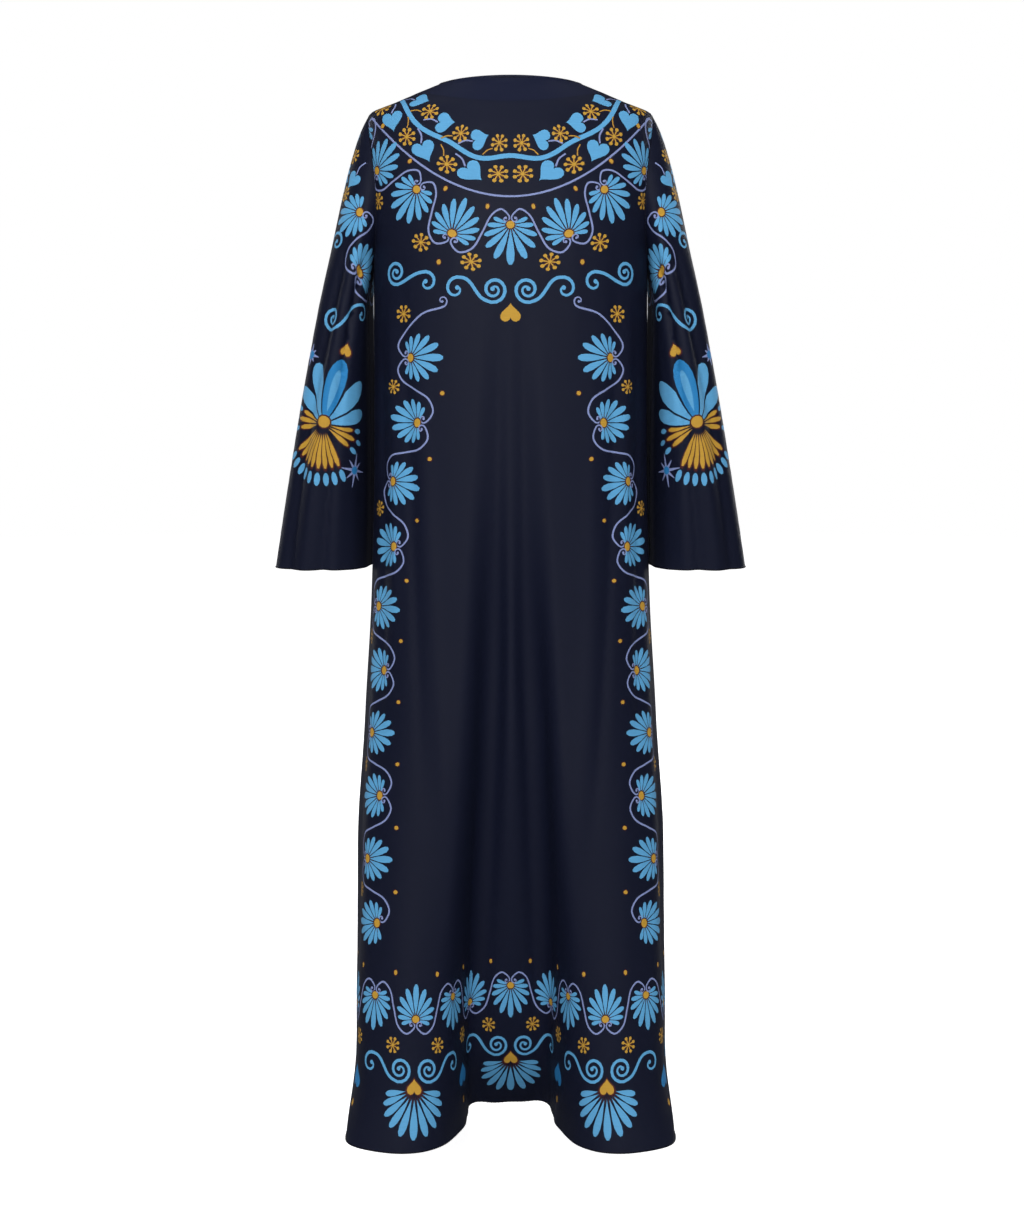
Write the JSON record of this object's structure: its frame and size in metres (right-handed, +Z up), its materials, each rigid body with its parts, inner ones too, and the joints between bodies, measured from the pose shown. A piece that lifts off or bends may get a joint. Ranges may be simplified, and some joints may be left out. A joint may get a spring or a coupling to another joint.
{
  "type": "kaftan",
  "caption": "Long loose silk kaftan in its hollow worn form, with set-in bell sleeves, a round neck and a level floor-length hem.",
  "frame": {"origin": "where the wearer's shoulders hold it: midway between the two points where the shoulder seams meet the neck", "axes": "+Z up, against the hang of the cloth; +Y towards the wearer's front; +X towards the wearer's right sleeve"},
  "size_m": [0.658, 0.4498, 1.4452],
  "materials": {
    "back_panel": "printed silk, soft satin sheen",
    "front_panel": "printed silk, soft satin sheen",
    "right_sleeve": "printed silk, soft satin sheen",
    "left_sleeve": "printed silk, soft satin sheen",
    "back_neck_facing": "plain silk",
    "front_neck_facing": "plain silk"
  },
  "bodies": {
    "root": {"back_panel": "back_panel", "front_panel": "front_panel", "right_sleeve": "right_sleeve", "left_sleeve": "left_sleeve", "back_neck_facing": "back_neck_facing", "front_neck_facing": "front_neck_facing"}
  },
  "joints": []
}
